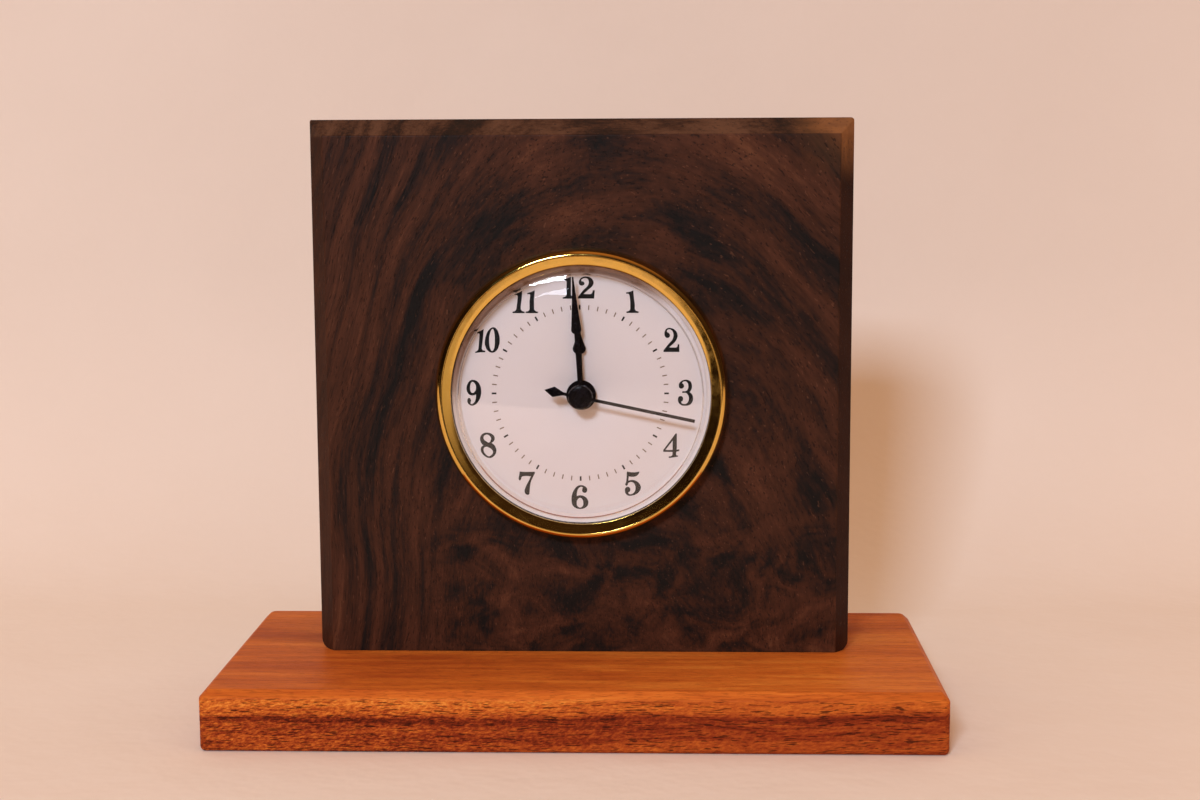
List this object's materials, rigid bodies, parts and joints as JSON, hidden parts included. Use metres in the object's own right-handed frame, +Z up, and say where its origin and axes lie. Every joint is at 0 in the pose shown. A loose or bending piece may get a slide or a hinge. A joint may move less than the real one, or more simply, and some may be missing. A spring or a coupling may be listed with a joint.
{
  "type": "desk clock",
  "caption": "Wooden table clock: a square burl block on a wider plinth, with a round press-in quartz clock behind a domed lens and brass ring, set by a knob at the back.",
  "frame": {"origin": "the middle of the plinth's underside, on the surface that the clock stands on", "axes": "+X to the right along the plinth's length as seen from the front, +Y to the back along its depth, +Z up"},
  "size_m": [0.1746, 0.079, 0.1465],
  "materials": {
    "plinth_wood": "oiled, satin",
    "block_wood": "oiled burl, satin",
    "bezel_brass": "polished and lacquered",
    "movement_brass": "turned",
    "copper_wire": "enamelled copper wire",
    "screw_steel": "zinc plated",
    "soft_iron": "rolled",
    "magnet": "sintered",
    "battery_can": "nickel plated",
    "contact": "plated spring strip",
    "lens_clear": "clear, polished",
    "dial_white": "matt white enamel",
    "ring_white": "satin white",
    "hand_black": "semi-gloss black",
    "cup_black": "moulded, fine texture",
    "knob_black": "moulded",
    "band_rubber": "matt",
    "plate_plastic": "moulded",
    "gear_plastic": "natural acetal",
    "board": "green solder mask",
    "chip": "black resin",
    "crystal_can": "drawn can"
  },
  "bodies": {
    "case": {"base_plinth": "plinth_wood", "case_block": "block_wood", "base_screws": "screw_steel"},
    "battery_door": {"battery_cover": "cup_black"},
    "seconds_train": {"second_hand": "hand_black", "second_hand_cap": "hand_black", "seconds_arbor": "screw_steel", "seconds_wheel": "gear_plastic"},
    "third_arbor": {"third_wheel": "gear_plastic"},
    "centre_train": {"centre_wheel": "gear_plastic"},
    "fifth_arbor": {"fifth_wheel": "gear_plastic"},
    "rotor": {"rotor_pinion": "gear_plastic", "rotor_magnet": "magnet"},
    "minute_train": {"minute_hand": "hand_black", "cannon_pinion": "movement_brass", "clutch_spring": "contact"},
    "motion_arbor": {"minute_wheel": "gear_plastic"},
    "hour_train": {"hour_hand": "hand_black", "hour_wheel": "gear_plastic"},
    "setting_arbor": {"setting_knob": "knob_black", "setting_pinion": "gear_plastic"},
    "insert": {"bezel": "bezel_brass", "lens": "lens_clear", "lens_gasket": "band_rubber", "dial_ring": "ring_white", "dial": "dial_white", "insert_cup": "cup_black", "grip_band": "band_rubber", "movement_plate": "plate_plastic", "middle_plate": "plate_plastic", "train_bridge": "plate_plastic", "movement_screws": "screw_steel", "centre_tube": "movement_brass", "dial_nut": "movement_brass", "stator": "soft_iron", "coil_core": "soft_iron", "coil_bobbin": "gear_plastic", "coil_winding": "copper_wire", "coil_screws": "screw_steel", "circuit_board": "board", "control_chip": "chip", "quartz_crystal": "crystal_can", "battery": "battery_can", "negative_contact": "contact", "positive_contact": "contact"}
  },
  "joints": [
    {"name": "insert_slide", "type": "slide", "parent": "case", "child": "insert", "axis": [0, -1, 0], "range_m": [0, 0.03]},
    {"name": "battery_cover_lift", "type": "slide", "parent": "insert", "child": "battery_door", "axis": [0, 1, 0], "range_m": [0, 0.02]},
    {"name": "seconds_spin", "type": "hinge", "parent": "insert", "child": "seconds_train", "pos_m": [0.0011, 0.00355, 0.0797], "axis": [0, 1, 0], "continuous": true},
    {"name": "third_spin", "type": "hinge", "parent": "insert", "child": "third_arbor", "pos_m": [-0.00514, 0.00255, 0.0833], "axis": [0, 1, 0], "continuous": true},
    {"name": "centre_spin", "type": "hinge", "parent": "insert", "child": "centre_train", "pos_m": [0.0011, 0.00025, 0.0797], "axis": [0, 1, 0], "continuous": true},
    {"name": "fifth_spin", "type": "hinge", "parent": "insert", "child": "fifth_arbor", "pos_m": [0.00526, 0.00455, 0.0821], "axis": [0, 1, 0], "continuous": true},
    {"name": "rotor_spin", "type": "hinge", "parent": "insert", "child": "rotor", "pos_m": [0.00889, 0.0031, 0.0842], "axis": [0, 1, 0], "continuous": true},
    {"name": "minute_spin", "type": "hinge", "parent": "insert", "child": "minute_train", "pos_m": [0.0011, -0.00065, 0.0797], "axis": [0, 1, 0], "continuous": true},
    {"name": "motion_spin", "type": "hinge", "parent": "insert", "child": "motion_arbor", "pos_m": [0.0041, -0.00075, 0.0745], "axis": [0, 1, 0], "continuous": true},
    {"name": "hour_spin", "type": "hinge", "parent": "insert", "child": "hour_train", "pos_m": [0.0011, -0.00175, 0.0797], "axis": [0, 1, 0], "continuous": true},
    {"name": "setting_spin", "type": "hinge", "parent": "insert", "child": "setting_arbor", "pos_m": [0.00698, 0.0129, 0.06952], "axis": [0, 1, 0], "continuous": true}
  ],
  "couplings": [
    {"joint": "third_spin", "follows": "seconds_spin", "ratio": -0.13333},
    {"joint": "centre_spin", "follows": "seconds_spin", "ratio": 0.016667},
    {"joint": "fifth_spin", "follows": "seconds_spin", "ratio": -5},
    {"joint": "rotor_spin", "follows": "seconds_spin", "ratio": 30},
    {"joint": "motion_spin", "follows": "minute_spin", "ratio": -0.33333},
    {"joint": "hour_spin", "follows": "minute_spin", "ratio": 0.083333},
    {"joint": "setting_spin", "follows": "minute_spin", "ratio": 1.2}
  ]
}
